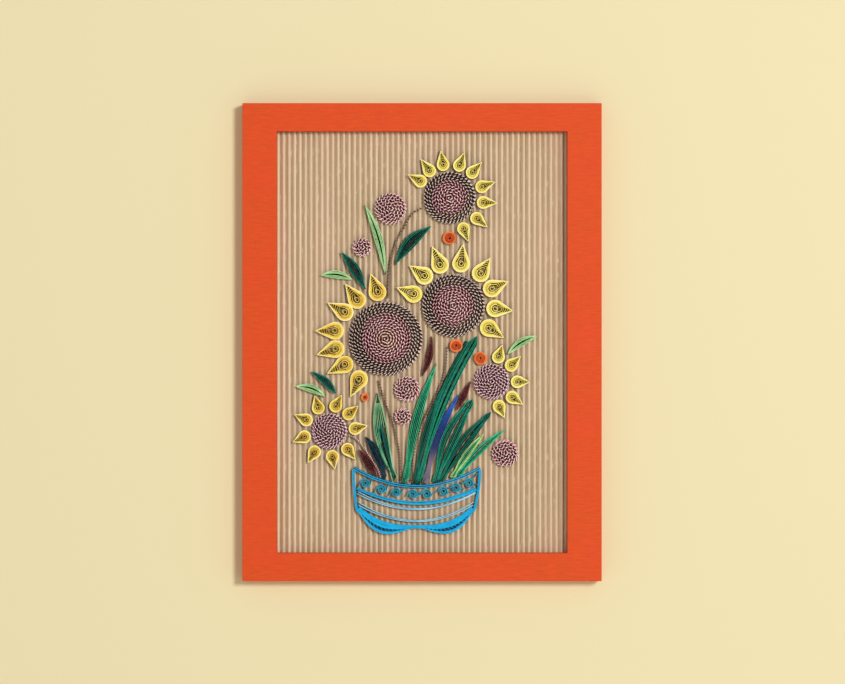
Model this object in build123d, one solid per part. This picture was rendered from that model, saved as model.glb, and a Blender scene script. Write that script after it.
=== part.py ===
# Framed quilled picture: a bouquet of coiled and folded paper strips in a bowl.
# Millimetres. X runs to the viewer's right, Z up, and the face of the picture looks along -Y.
# The origin is the centre of the frame: the middle of its width, height and depth.
from build123d import *
from math import acos, ceil, cos, floor, pi, radians, sin
import os

# Window of the frame, which the picture is laid out in
opening_width = 186.0
opening_height = 270.0

# Frame, folded from one sheet of card
side_rail_width = 22.0
end_rail_width = 18.0
card_thickness = 1.5
recess_depth = 7.5
rear_flap_width = 14.0

# Corrugated board behind the window
board_side_overlap = 12.0
board_end_overlap = 13.5
flute_pitch = 3.5
flute_height = 1.6
liner_thickness = 0.4
crest_share = 0.3

# Panel that closes the back
panel_thickness = 3.0
panel_clearance = 0.5

# Sawtooth hanger on the panel
hanger_length = 45.0
hanger_height = 9.0
hanger_sheet = 0.5
hanger_rise = 0.6
hanger_foot = 8.0
hanger_drop = 20.0
tooth_depth = 1.8
tooth_count = 7

# Paper strips, glued on edge to the crests of the board
strip_width = 3.0
strip_thickness = 0.4
leaf_wall = 0.6
stem_wall = 0.9

# Crimped coils: the walls are two or more turns of crimped strip, pressed side by side
top_centre_radius = 17.0
middle_centre_radius = 20.5
left_centre_radius = 24.0
small_centre_radius = 11.8
pink_wall = 2.8
dark_wall = 1.5
fine_pink_wall = 2.4
crimped_gap = 0.8
crimped_eye_radius = 1.2
colour_change_gap = 0.4
groove_points = 11
fine_groove_points = 8
big_coil_sides = 22
small_coil_sides = 14

# Petals
top_petal_length = 13.2
middle_petal_length = 17.3
left_petal_length = 18.3
small_petal_length = 12.4
small_petal_width = 8.3
large_petal_width = 11.4
petal_gap = 0.5
left_petal_gaps = [0.7, 1.3, 1.6, 3.2, 3.2, 1.3, 1.3]

# Rosettes and tight coils
rosette_radii = [10.6, 6.5, 8.6, 5.9, 9.1]
tight_coil_radii = [4.4, 4.3, 4.3, 2.8]
tight_wall = 1.5
tight_gap = 0.4
tight_eye_radius = 0.9
tight_coil_points = 8

# Leaves, blades and buds: overall widths
pale_leaf_width = 5.2
dark_leaf_width = 6.5
short_leaf_width = 5.1
sage_blade_width = 9.0
inner_blade_width = 3.3
navy_blade_width = 5.8
bright_blade_width = 5.8
narrow_blade_width = 3.3
long_blade_width = 5.6
blue_blade_width = 4.9
teal_blade_width = 9.0
wide_blade_width = 6.4
lime_blade_width = 3.5
green_blade_width = 4.2
bud_width = 4.2

# Bowl
rim_half_width = 40.6
bowl_taper = 3.4
bowl_height = 25.5
rim_sag = 11.8
rim_wall = 1.8
band_sag = 9.3
band_wall = 1.3
upper_swag_sag = 11.3
lower_swag_sag = 11.5
second_swag_sag = 10.7
swag_wall = 0.8
base_sag = 12.0
base_wall = 1.3
side_wall = 1.5
foot_width = 5.4
scroll_radius = 3.1
scroll_wall = 0.8
scroll_gap = 0.9
scroll_eye_radius = 0.8
scroll_points = 7
bowl_fit_gap = 0.4
blade_rim_gap = 1.4

# Places in the picture, as shares of the opening's width and height from its centre
top_flower_shares = (0.096, 0.343)
middle_flower_shares = (0.109, 0.087)
left_flower_shares = (-0.125, 0.008)
lower_flower_shares = (-0.319, -0.211)
right_flower_shares = (0.24, -0.094)
bowl_shares = (-0.018, -0.299)
rosette_shares = [(-0.108, 0.317), (-0.207, 0.225), (-0.052, -0.111), (-0.066, -0.176), (0.287, -0.264)]
tight_coil_shares = [(0.095, 0.247), (0.117, -0.008), (0.202, -0.038), (-0.197, -0.131)]

# Directions of the petals round each flower, in degrees from the viewer's right
top_petal_angles = [150.5, 127, 101.5, 73.5, 48.5, 19, -8, -37.5, -66]
middle_petal_angles = [164, 134.5, 108.5, 80, 50, 24, -4, -32.5]
left_petal_angles = [100, 126.5, 147, 171, 191.5, 212, 236.5]
lower_petal_angles = [116, 76, 41.5, 5.5, -45, -83.5, 234.5, 193, 154.5]
right_petal_angles = [74.5, 40, 0, -37, -73]

# How far each petal's point is turned from the way out of its flower, in degrees
top_petal_turns = [3, 0, -2, -5, -2, 1, 6, -2, -3]
middle_petal_turns = [-5, 12, 5, 4, 8, 0, -4, -1]
left_petal_turns = [11, 0, 5, 10, 6, -5, 8]
lower_petal_turns = [-10, -14, -1, 8, -8, 5, 4, 12, 2]
right_petal_turns = [-2, 4, -1, 3, 9]

# Radii of the pink coils within the two-colour centres, as shares of the whole coil
top_pink_share = 0.68
middle_pink_share = 0.66
left_pink_share = 0.68

# Turns of a teardrop coil: degrees from its point, and radii as shares of its round end
inner_turn_angles = [-150, -60, 30, 110]
inner_turn_shares = [0.32, 0.4, 0.48, 0.56]
outer_start_angles = [180, 240]
outer_start_shares = [0.63, 0.93]
outer_end_angles = [466, 510, 550]

# Stems, from flower to bowl, and where three of them reach its rim, as shares of half the rim's width
top_stem_shares = [(0.002, 0.32), (-0.034, 0.305), (-0.061, 0.273), (-0.089, 0.237),
                   (-0.106, 0.195), (-0.114, 0.15), (-0.116, 0.104)]
middle_stem_shares = [(0.087, -0.009), (0.082, -0.056), (0.07, -0.092), (0.039, -0.139),
                      (0.01, -0.179), (-0.01, -0.215), (-0.03, -0.272)]
left_stem_shares = [(-0.149, -0.09), (-0.128, -0.139), (-0.106, -0.179), (-0.087, -0.224),
                    (-0.076, -0.272)]
lower_stem_shares = [(-0.25, -0.221), (-0.228, -0.229), (-0.202, -0.249), (-0.173, -0.279),
                     (-0.152, -0.302)]
middle_stem_rim_share = -0.096
left_stem_rim_share = -0.252
lower_stem_rim_share = -0.568

# Levels at which the bowl's strips meet its sides, as shares of its height
band_level_share = 0.502
upper_swag_level_share = 0.627
lower_swag_level_share = 0.863
second_swag_level_share = 0.937

# Inner end of each foot as a share of half the base, and the foot's bow as a share of its length
foot_start_share = 0.2
foot_bow_share = 0.185

# Scrolls between rim and band, as shares of half the rim's width
scroll_shares = [-0.815, -0.56, -0.33, -0.06, 0.155, 0.42, 0.62, 0.825]

# Steps of a loop from base to tip, and those at which its vein bends
loop_steps = 5
vein_steps = [0, 2, 3, 5]

# Steps of a hanging strip from side to side, and of a side of the bowl
sagging_steps = 8
side_steps = 3

# Loops of strip: node, base, tip, overall width, bow to the left as a share of the length,
# exponent that moves the widest place towards the tip, and whether a vein runs along the middle
leaf_shares = [
    ("tall_pale_leaf", (-0.127, 0.162), (-0.197, 0.327), pale_leaf_width, -0.048, 1.0, True),
    ("upper_dark_leaf", (-0.092, 0.185), (0.032, 0.276), dark_leaf_width, 0.047, 1.0, True),
    ("left_dark_leaf", (-0.196, 0.126), (-0.278, 0.214), dark_leaf_width, -0.045, 1.0, True),
    ("left_pale_leaf", (-0.24, 0.149), (-0.349, 0.159), short_leaf_width, -0.088, 1.0, True),
    ("lower_dark_leaf", (-0.298, -0.121), (-0.383, -0.07), short_leaf_width, -0.07, 0.8, True),
    ("lower_pale_leaf", (-0.333, -0.129), (-0.436, -0.105), short_leaf_width, -0.1, 1.0, True),
    ("right_pale_leaf", (0.295, -0.028), (0.397, 0.015), short_leaf_width, 0.078, 1.0, True),
    ("middle_bud", (0.0, -0.08), (0.033, 0.015), bud_width, -0.07, 0.9, True),
    ("right_bud", (0.121, -0.16), (0.168, -0.092), bud_width, 0.0, 0.9, True),
    ("inner_dark_blade", (-0.115, -0.272), (-0.139, -0.191), inner_blade_width, 0.02, 1.0, True),
]

# The same for the loops that rise from the bowl; their base is a share of half the rim's width
blade_shares = [
    ("sage_blade", -0.325, (-0.154, -0.12), sage_blade_width, 0.05, 1.5, False),
    ("navy_blade", -0.504, (-0.195, -0.224), navy_blade_width, -0.08, 1.2, True),
    ("bright_blade", -0.174, (0.051, -0.049), bright_blade_width, 0.042, 1.0, True),
    ("short_dark_blade", -0.032, (0.089, -0.082), narrow_blade_width, 0.042, 1.0, True),
    ("long_dark_blade", 0.0275, (0.19, 0.015), long_blade_width, 0.044, 1.3, True),
    ("blue_blade", 0.142, (0.127, -0.124), blue_blade_width, 0.05, 1.1, True),
    ("teal_blade", 0.298, (0.173, -0.138), teal_blade_width, 0.059, 1.1, True),
    ("wide_dark_blade", 0.385, (0.238, -0.166), wide_blade_width, 0.043, 1.0, True),
    ("lime_blade", 0.559, (0.216, -0.216), lime_blade_width, 0.04, 1.0, True),
    ("right_green_blade", 0.646, (0.287, -0.207), green_blade_width, 0.045, 1.0, True),
    ("bowl_bud", -0.623, (-0.217, -0.255), bud_width, -0.02, 1.0, True),
]

# Sizes that follow from the ones above
frame_width = opening_width + 2 * side_rail_width
frame_height = opening_height + 2 * end_rail_width
board_width = opening_width + 2 * board_side_overlap
board_height = opening_height + 2 * board_end_overlap
board_thickness = flute_height + liner_thickness
frame_depth = recess_depth + board_thickness + panel_thickness + card_thickness
front_y = -frame_depth / 2
rear_y = frame_depth / 2
crest_y = front_y + recess_depth
liner_back_y = crest_y + board_thickness
panel_back_y = liner_back_y + panel_thickness

# Plane that the strips are glued to, facing the viewer
glue_plane = Plane.XZ.offset(-crest_y)

# Longest mitre of a fold, as a multiple of the offset
mitre_limit = 3


def place(shares):
    """A point of the picture, from its shares of the opening."""
    return Vector(shares[0] * opening_width, shares[1] * opening_height)


def heading(angle):
    """A unit step in a direction given in radians from the viewer's right."""
    return Vector(cos(angle), sin(angle))


# Strips of paper


def left_normal(start, end):
    """The unit step to the left of the way from one point to the next."""
    along = end - start
    return Vector(-along.Y, along.X).normalized()


def beside(path, distance, closed):
    """The path moved to its left by a distance, with its corners kept."""
    legs = [left_normal(path[index], path[index + 1]) for index in range(len(path) - 1)]
    if closed:
        legs.append(left_normal(path[-1], path[0]))
    moved = []
    for index, point in enumerate(path):
        before = legs[index - 1] if closed or index > 0 else legs[index]
        after = legs[index] if index < len(legs) else legs[index - 1]
        both = before + after
        mitre = min(2 / both.length, mitre_limit)
        moved.append(point + both.normalized() * (mitre * distance))
    return moved


def strip_outline(path, thickness):
    """The top edge of an open strip that follows a path."""
    left = beside(path, thickness / 2, False)
    right = beside(path, -thickness / 2, False)
    return make_face(Polyline(*left, *reversed(right), close=True))


def loop_outline(path, thickness):
    """The top edge of a strip that closes on itself."""
    sides = [make_face(Polyline(*beside(path, side * thickness / 2, True), close=True)) for side in (-1, 1)]
    inner, outer = sorted(sides, key=lambda face: face.area)
    return outer - inner


def stand(outline):
    """Stands an outline on the board, as deep as the strip is wide."""
    return extrude(glue_plane * outline, strip_width)


def strip(path, thickness):
    return stand(strip_outline(path, thickness))


# Frame, board, panel and hanger


def ring(outer_width, outer_height, inner_width, inner_height, near_y, far_y):
    """An upright rectangular ring between two depths."""
    outline = Rectangle(outer_width, outer_height) - Rectangle(inner_width, inner_height)
    return extrude(Plane.XZ.offset(-far_y) * outline, far_y - near_y)


def frame():
    """One sheet of card folded into a box section round the window."""
    wall = 2 * card_thickness
    face = ring(frame_width, frame_height, opening_width, opening_height, front_y, front_y + card_thickness)
    outer_walls = ring(frame_width, frame_height, frame_width - wall, frame_height - wall, front_y, rear_y)
    window_walls = ring(opening_width + wall, opening_height + wall, opening_width, opening_height,
                        front_y, crest_y)
    flap = 2 * rear_flap_width
    rear_flaps = ring(frame_width, frame_height, frame_width - flap, frame_height - flap,
                      panel_back_y, rear_y)
    return face + outer_walls + window_walls + rear_flaps


def corrugated_board():
    """Upright flutes on a flat liner."""
    flute_count = round(board_width / flute_pitch)
    pitch = board_width / flute_count
    crest = crest_share * pitch / 2
    valley_y = crest_y + flute_height
    wave = []
    for index in range(flute_count):
        valley = -board_width / 2 + index * pitch
        wave.append(Vector(valley, valley_y))
        wave.append(Vector(valley + pitch / 2 - crest, crest_y))
        wave.append(Vector(valley + pitch / 2 + crest, crest_y))
    back = [Vector(board_width / 2, valley_y), Vector(board_width / 2, liner_back_y),
            Vector(-board_width / 2, liner_back_y)]
    section = make_face(Polyline(*wave, *back, close=True))
    return extrude(Plane.XY.offset(-board_height / 2) * section, board_height)


def back_panel():
    inside = 2 * (card_thickness + panel_clearance)
    outline = Rectangle(frame_width - inside, frame_height - inside)
    return extrude(Plane.XZ.offset(-panel_back_y) * outline, panel_thickness)


def hanger():
    """A joggled steel plate with teeth along its lower edge."""
    top = frame_height / 2 - hanger_drop
    toothed_length = hanger_length - 2 * hanger_foot
    tooth_pitch = toothed_length / tooth_count
    plate = Polyline(
        Vector(-hanger_length / 2, top - hanger_height), Vector(-hanger_length / 2, top),
        Vector(hanger_length / 2, top), Vector(hanger_length / 2, top - hanger_height), close=True)
    outline = make_face(plate)
    for index in range(tooth_count):
        left = -toothed_length / 2 + index * tooth_pitch
        notch = Polyline(Vector(left, top - hanger_height),
                         Vector(left + tooth_pitch / 2, top - hanger_height + tooth_depth),
                         Vector(left + tooth_pitch, top - hanger_height), close=True)
        outline -= make_face(notch)
    blank = extrude(Plane.XZ.offset(-rear_y) * outline, rear_y - panel_back_y)
    foot_end = hanger_length / 2 - hanger_foot
    bend = foot_end - hanger_rise
    profile = [Vector(-hanger_length / 2, 0), Vector(-foot_end, 0), Vector(-bend, hanger_rise),
               Vector(bend, hanger_rise), Vector(foot_end, 0), Vector(hanger_length / 2, 0)]
    lower = [Vector(point.X, panel_back_y + point.Y) for point in profile]
    upper = [Vector(point.X, panel_back_y + point.Y + hanger_sheet) for point in profile]
    sheet = make_face(Polyline(*lower, *reversed(upper), close=True))
    return blank & extrude(Plane.XY.offset(top - hanger_height) * sheet, hanger_height)


# Coils


def coil_path(centre, first_turn, last_turn, pitch, points_per_turn):
    """Points of a coil that opens by one pitch in each turn."""
    path = []
    for step in range(ceil(first_turn * points_per_turn), floor(last_turn * points_per_turn) + 1):
        turn = step / points_per_turn
        path.append(centre + heading(2 * pi * turn) * (pitch * turn))
    return path


def coil(centre, radius, eye, wall, gap, points_per_turn):
    """A strip rolled up from its eye to the given radius."""
    pitch = wall + gap
    path = coil_path(centre, eye / pitch, (radius - wall / 2) / pitch, pitch, points_per_turn)
    return strip(path, wall)


def disc(centre, radius, sides):
    return Pos(centre) * RegularPolygon(radius, sides)


def groove(centre, inner_radius, outer_radius, wall, points_per_turn):
    """The gap between the turns of a coil, from one radius to another."""
    pitch = wall + crimped_gap
    path = coil_path(centre, inner_radius / pitch, (outer_radius - wall) / pitch, pitch, points_per_turn)
    return strip_outline(path, crimped_gap)


def crimped_coil(centre, radius, wall, sides, points_per_turn):
    """A crimped strip rolled up tightly and glued round at its end."""
    turns = groove(centre, crimped_eye_radius, radius, wall, points_per_turn)
    return stand(disc(centre, radius, sides) - turns)


def small_crimped_coil(centre, radius):
    return crimped_coil(centre, radius, fine_pink_wall, small_coil_sides, fine_groove_points)


def two_colour_centre(centre, radius, pink_share):
    """A pink crimped coil, and the darker crimped strip that is wound on round it."""
    pink_radius = radius * pink_share
    pink = crimped_coil(centre, pink_radius, pink_wall, big_coil_sides, groove_points)
    start_radius = pink_radius + colour_change_gap
    turns = groove(centre, start_radius + dark_wall, radius, dark_wall, groove_points)
    dark = disc(centre, radius, big_coil_sides) - disc(centre, start_radius, big_coil_sides) - turns
    return pink, stand(dark)


def petal(coil_centre, direction, length, width):
    """A loose coil pinched to a point, which looks along the given direction."""
    round_radius = width / 2
    reach = length - round_radius
    touch = acos(round_radius / reach)
    path = []
    for angle, share in zip(inner_turn_angles + outer_start_angles, inner_turn_shares + outer_start_shares):
        path.append(coil_centre + heading(direction + radians(angle)) * (share * round_radius))
    path.append(coil_centre + heading(direction - touch) * round_radius)
    path.append(coil_centre + heading(direction) * reach)
    path.append(coil_centre + heading(direction + touch) * round_radius)
    for angle in outer_end_angles:
        path.append(coil_centre + heading(direction + radians(angle)) * round_radius)
    return strip(path, strip_thickness)


def petals(centre, centre_radius, angles, turns, gaps, length, width):
    """The petals of one flower, side by side round its centre coil."""
    group = []
    for angle, turn, gap in zip(angles, turns, gaps):
        coil_centre = centre + heading(radians(angle)) * (centre_radius + gap + width / 2)
        group.append(petal(coil_centre, radians(angle + turn), length, width - strip_thickness))
    return group


# Leaves, blades, buds and stems


def leaf_loop(base, tip, width, bow_share, widest_exponent, has_vein):
    """A strip folded to a point at both ends, with a vein along its middle."""
    along = tip - base
    across = left_normal(base, tip)
    middle = []
    sides = []
    for step in range(loop_steps + 1):
        share = step / loop_steps
        bow = bow_share * along.length * sin(pi * share)
        half = (width - leaf_wall) / 2 * sin(pi * share ** widest_exponent)
        middle.append(base + along * share + across * bow)
        sides.append(across * half)
    left = [point + side for point, side in zip(middle, sides)]
    right = [point - side for point, side in zip(middle, sides)]
    outline = loop_outline(left + right[-2:0:-1], leaf_wall)
    if has_vein:
        outline += strip_outline([middle[step] for step in vein_steps], strip_thickness)
    return stand(outline)


def stem(shares, rim_share=None):
    """A crimped strip that runs from a flower, down to the bowl's rim where a share of it is given."""
    path = [place(pair) for pair in shares]
    if rim_share is not None:
        path.append(above_rim(rim_share))
    return strip(path, stem_wall)


# Bowl


def bowl_point(across, depth):
    """A point of the bowl, from its middle line and the level of the rim's ends."""
    return place(bowl_shares) + Vector(across, -depth)


def above_rim(share):
    """A place just above the rim, where a blade or stem starts."""
    depth = rim_sag * (1 - share * share) - rim_wall / 2 - blade_rim_gap
    return bowl_point(share * rim_half_width, depth)


def side_at(depth):
    """Half the width of the bowl at a depth below the rim's ends."""
    return rim_half_width - bowl_taper * (depth / bowl_height) ** 2


def sagging_path(end_depth, sag, half_width):
    """A strip's path that hangs between two points at the same level."""
    path = []
    for step in range(sagging_steps + 1):
        share = 2 * step / sagging_steps - 1
        path.append(bowl_point(half_width * share, end_depth + sag * (1 - share * share)))
    return path


def sagging_strip(level_share, sag, wall):
    """A strip that hangs between the bowl's two sides, just clear of them."""
    end_depth = level_share * bowl_height
    half_width = side_at(end_depth) - side_wall / 2 - bowl_fit_gap - wall / 2
    return strip(sagging_path(end_depth, sag, half_width), wall)


def bowl_side(hand):
    """The left or right side of the bowl, from under the rim to the foot."""
    top = rim_wall + bowl_fit_gap
    path = []
    for step in range(side_steps + 1):
        depth = top + (bowl_height - top) * step / side_steps
        path.append(bowl_point(hand * side_at(depth), depth))
    return strip(path, side_wall)


def bowl_foot(hand):
    """A crescent that hangs below the base strip on one side."""
    outer_depth = bowl_height + base_wall + bowl_fit_gap
    outer = bowl_point(hand * side_at(bowl_height), outer_depth)
    inner_depth = outer_depth + base_sag * (1 - foot_start_share * foot_start_share)
    inner = bowl_point(hand * foot_start_share * side_at(bowl_height), inner_depth)
    return leaf_loop(inner, outer, foot_width, hand * -foot_bow_share, 1, False)


def bowl_scrolls():
    """Small coils halfway between the rim and the band strip."""
    group = []
    for share in scroll_shares:
        rim_level = rim_sag * (1 - share * share)
        band_level = band_level_share * bowl_height + band_sag * (1 - share * share)
        centre = bowl_point(share * rim_half_width, (rim_level + band_level) / 2)
        group.append(coil(centre, scroll_radius, scroll_eye_radius, scroll_wall, scroll_gap, scroll_points))
    return group


def bowl():
    """Every strip of the bowl, by name."""
    rim = strip(sagging_path(0, rim_sag, rim_half_width), rim_wall)
    return {
        "bowl_rim": rim,
        "bowl_left_side": bowl_side(-1),
        "bowl_right_side": bowl_side(1),
        "bowl_band_strip": sagging_strip(band_level_share, band_sag, band_wall),
        "bowl_upper_swag": sagging_strip(upper_swag_level_share, upper_swag_sag, swag_wall),
        "bowl_lower_swag": sagging_strip(lower_swag_level_share, lower_swag_sag, swag_wall),
        "bowl_second_swag": sagging_strip(second_swag_level_share, second_swag_sag, swag_wall),
        "bowl_base_strip": sagging_strip(1, base_sag, base_wall),
        "bowl_left_foot": bowl_foot(-1),
        "bowl_right_foot": bowl_foot(1),
        "bowl_scrolls": bowl_scrolls(),
    }


# Flowers


def two_colour_flower(name, centre, radius, pink_share, flower_petals):
    pink, dark = two_colour_centre(centre, radius, pink_share)
    write(f"{name}_flower_pink_coil", pink)
    write(f"{name}_flower_dark_coil", dark)
    write(f"{name}_flower_petals", flower_petals)


def pink_flower(name, centre, angles, turns):
    write(f"{name}_flower_pink_coil", small_crimped_coil(centre, small_centre_radius))
    gaps = [petal_gap] * len(angles)
    write(f"{name}_flower_petals",
          petals(centre, small_centre_radius, angles, turns, gaps, small_petal_length, small_petal_width))


def flowers():
    """The five flowers, each a crimped centre with petals round it."""
    centre = place(top_flower_shares)
    gaps = [petal_gap] * len(top_petal_angles)
    two_colour_flower("top", centre, top_centre_radius, top_pink_share,
                      petals(centre, top_centre_radius, top_petal_angles, top_petal_turns, gaps,
                             top_petal_length, small_petal_width))
    centre = place(middle_flower_shares)
    gaps = [petal_gap] * len(middle_petal_angles)
    two_colour_flower("middle", centre, middle_centre_radius, middle_pink_share,
                      petals(centre, middle_centre_radius, middle_petal_angles, middle_petal_turns, gaps,
                             middle_petal_length, large_petal_width))
    centre = place(left_flower_shares)
    two_colour_flower("left", centre, left_centre_radius, left_pink_share,
                      petals(centre, left_centre_radius, left_petal_angles, left_petal_turns, left_petal_gaps,
                             left_petal_length, large_petal_width))
    pink_flower("lower", place(lower_flower_shares), lower_petal_angles, lower_petal_turns)
    pink_flower("right", place(right_flower_shares), right_petal_angles, right_petal_turns)


def write(name, shape):
    """Writes a node: one solid, or a group of separate ones."""
    group = shape if isinstance(shape, list) else [shape]
    solids = [solid for piece in group for solid in piece.solids()]
    export_step(solids[0] if len(solids) == 1 else Compound(solids), f"parts/{name}.step")


def main():
    os.makedirs("parts", exist_ok=True)
    write("frame", frame())
    write("corrugated_board", corrugated_board())
    write("back_panel", back_panel())
    write("sawtooth_hanger", hanger())

    flowers()
    for number, (shares, radius) in enumerate(zip(rosette_shares, rosette_radii), start=1):
        write(f"crimped_rosette_{number}", small_crimped_coil(place(shares), radius))
    tight_coils = []
    for shares, radius in zip(tight_coil_shares, tight_coil_radii):
        tight_coils.append(coil(place(shares), radius, tight_eye_radius, tight_wall, tight_gap,
                                tight_coil_points))
    write("orange_tight_coils", tight_coils)

    for name, base_shares, tip_shares, width, bow_share, exponent, has_vein in leaf_shares:
        base = place(base_shares)
        write(name, leaf_loop(base, place(tip_shares), width, bow_share, exponent, has_vein))
    for name, rim_share, tip_shares, width, bow_share, exponent, has_vein in blade_shares:
        base = above_rim(rim_share)
        write(name, leaf_loop(base, place(tip_shares), width, bow_share, exponent, has_vein))
    write("top_flower_stem", stem(top_stem_shares))
    write("middle_flower_stem", stem(middle_stem_shares, middle_stem_rim_share))
    write("left_flower_stem", stem(left_stem_shares, left_stem_rim_share))
    write("lower_flower_stem", stem(lower_stem_shares, lower_stem_rim_share))
    for name, shape in bowl().items():
        write(name, shape)


main()
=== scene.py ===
import random
from math import acos, copysign, cos, pi, radians, sin

import bmesh
import bpy
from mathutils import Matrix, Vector


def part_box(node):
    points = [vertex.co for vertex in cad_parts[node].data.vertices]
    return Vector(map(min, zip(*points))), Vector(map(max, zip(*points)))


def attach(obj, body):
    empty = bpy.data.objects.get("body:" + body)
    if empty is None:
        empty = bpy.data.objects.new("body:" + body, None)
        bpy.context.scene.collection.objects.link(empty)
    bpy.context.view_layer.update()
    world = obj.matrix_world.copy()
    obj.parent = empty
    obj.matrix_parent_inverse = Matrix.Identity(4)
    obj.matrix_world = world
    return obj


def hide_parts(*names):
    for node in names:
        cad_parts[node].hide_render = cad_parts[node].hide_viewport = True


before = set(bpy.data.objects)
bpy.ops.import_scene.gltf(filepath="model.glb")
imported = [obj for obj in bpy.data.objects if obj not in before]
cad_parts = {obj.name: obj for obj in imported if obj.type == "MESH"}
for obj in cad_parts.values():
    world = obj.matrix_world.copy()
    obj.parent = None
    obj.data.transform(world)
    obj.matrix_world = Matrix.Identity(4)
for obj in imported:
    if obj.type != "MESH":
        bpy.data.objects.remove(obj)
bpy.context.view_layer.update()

# Looks of the framed quilled picture. Metres; X to the viewer's right, Z up, face towards -Y.
MM = 0.001
scene = bpy.context.scene
rng = random.Random(7)

# Planes and sizes that the frame gives
frame_low, frame_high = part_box("frame")
board_low, board_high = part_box("corrugated_board")
front_y, rear_y = frame_low.y, frame_high.y
crest_y, liner_back_y = board_low.y, board_high.y
strip_front_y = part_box("bowl_rim")[0].y
strip_width = crest_y - strip_front_y
frame_width = frame_high.x - frame_low.x
frame_height = frame_high.z - frame_low.z

# Window and card of the frame, as in the solids
opening_width = 186 * MM
opening_height = 270 * MM
card_thickness = 1.5 * MM
rear_flap_width = 14 * MM
fold_radius = 0.35 * MM
fold_segments = 3
fold_angle = radians(40)
same_place = 0.001 * MM

# Corrugated sheet
flute_count = 60
flute_pitch = (board_high.x - board_low.x) / flute_count
flute_sheet = 0.25 * MM
liner_sheet = 0.3 * MM
flute_steps = 12
flute_roundness = 0.8
board_rows = 40
crest_angle = radians(60)

# Paper
paper_thickness = 0.42 * MM
thin_thickness = 0.4 * MM
crimped_thickness = 0.6 * MM

# Ranges of the random draws: shares of a strip's height, of a crimp's length and of its depth; an angle
height_range = (0.965, 1.0)
wave_range = (0.85, 1.15)
crimp_range = (0.8, 1.1)
coil_crimp_range = (0.7, 1.15)
tight_turn_range = (0, 6)


# Colours, as seen on a screen


def light(colour):
    """A colour in the values that shaders use, from three screen values between 0 and 255."""
    if len(colour) == 4:
        return colour
    linear = []
    for value in colour:
        share = value / 255
        linear.append(share / 12.92 if share <= 0.04045 else ((share + 0.055) / 1.055) ** 2.4)
    return (*linear, 1.0)


# Materials

noise_roughness = 0.55
# How far behind the cut edge a strip's face is darkened as painted shade
painted_shade_depth = 1.2 * MM


class Finish:
    """A procedural material under construction, patterned in Object coordinates."""

    def __init__(self, name, roughness, metallic=0.0):
        self.material = bpy.data.materials.new(name)
        self.material.use_nodes = True
        self.tree = self.material.node_tree
        self.shader = self.tree.nodes["Principled BSDF"]
        self.shader.inputs["Roughness"].default_value = roughness
        self.shader.inputs["Metallic"].default_value = metallic
        self.shader.inputs["Specular IOR Level"].default_value = 0.5 if metallic else 0.2
        self.place = self.tree.nodes.new("ShaderNodeTexCoord").outputs["Object"]

    def link(self, output, socket):
        self.tree.links.new(output, socket)

    def node(self, kind, **values):
        """A new node of that kind, with values for its inputs."""
        made = self.tree.nodes.new("ShaderNode" + kind)
        for name, value in values.items():
            made.inputs[name.replace("_", " ")].default_value = value
        return made

    def noise(self, scale, detail, stretch=(1, 1, 1)):
        mapping = self.node("Mapping", Scale=stretch)
        self.link(self.place, mapping.inputs["Vector"])
        texture = self.node("TexNoise", Scale=scale, Detail=detail, Roughness=noise_roughness)
        self.link(mapping.outputs["Vector"], texture.inputs["Vector"])
        return texture.outputs["Fac"]

    def axis(self, name):
        parts = self.node("SeparateXYZ")
        self.link(self.place, parts.inputs[0])
        return parts.outputs[name]

    def put(self, socket, value):
        """Gives a socket a number, a colour or the output of another node."""
        if isinstance(value, (int, float)):
            socket.default_value = value
        elif isinstance(value, tuple):
            socket.default_value = light(value)
        else:
            self.link(value, socket)

    def math(self, operation, first, second=0.0):
        node = self.node("Math")
        node.operation = operation
        self.put(node.inputs[0], first)
        self.put(node.inputs[1], second)
        return node.outputs[0]

    def between(self, value, low, high, most=1.0):
        """Nothing where the value is low, rising to the most where it is high."""
        node = self.node("MapRange", From_Min=low, From_Max=high, To_Max=most)
        self.link(value, node.inputs["Value"])
        return node.outputs["Result"]

    def ramp(self, value, stops):
        node = self.node("ValToRGB")
        points = node.color_ramp.elements
        while len(points) < len(stops):
            points.new(0.5)
        for point, (position, colour) in zip(points, stops):
            point.position = position
            point.color = light(colour)
        self.link(value, node.inputs["Fac"])
        return node.outputs["Color"]

    def mix(self, first, second, pattern, low, high, most=1.0):
        """The first colour, with the second in it where the pattern is high."""
        node = self.node("Mix")
        node.data_type = "RGBA"
        self.link(self.between(pattern, low, high, most), node.inputs[0])
        # Sockets 6 and 7 take the two colours
        self.put(node.inputs[6], first)
        self.put(node.inputs[7], second)
        return node.outputs[2]

    def done(self, colour, height, distance, strength):
        """The material, with its colour and a fine relief of that height."""
        self.link(colour, self.shader.inputs["Base Color"])
        relief = self.node("Bump", Distance=distance, Strength=strength)
        self.link(height, relief.inputs["Height"])
        self.link(relief.outputs["Normal"], self.shader.inputs["Normal"])
        return self.material


def shade(colour, share):
    """The colour made darker or lighter by a share of itself."""
    return (*[min(1.0, part * share) for part in light(colour)[:3]], 1.0)


def laid_card():
    """Orange card with fine laid lines across it."""
    finish = Finish("orange_laid_card", 0.62)
    orange = (212, 74, 18)
    lines = finish.noise(420, 2.0, (0.3, 0.4, 2.6))
    cloud = finish.noise(60, 3.0, (0.5, 1, 1))
    fibres = finish.noise(1800, 2.0, (0.6, 1, 1))
    toned = finish.mix(shade(orange, 0.92), shade(orange, 1.06), lines, 0.35, 0.65)
    toned = finish.mix(toned, (224, 64, 30), cloud, 0.3, 0.7, 0.35)
    toned = finish.mix(toned, (232, 96, 50), fibres, 0.55, 0.8, 0.35)
    return finish.done(toned, finish.math("ADD", lines, fibres), 0.06 * MM, 0.6)


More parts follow.
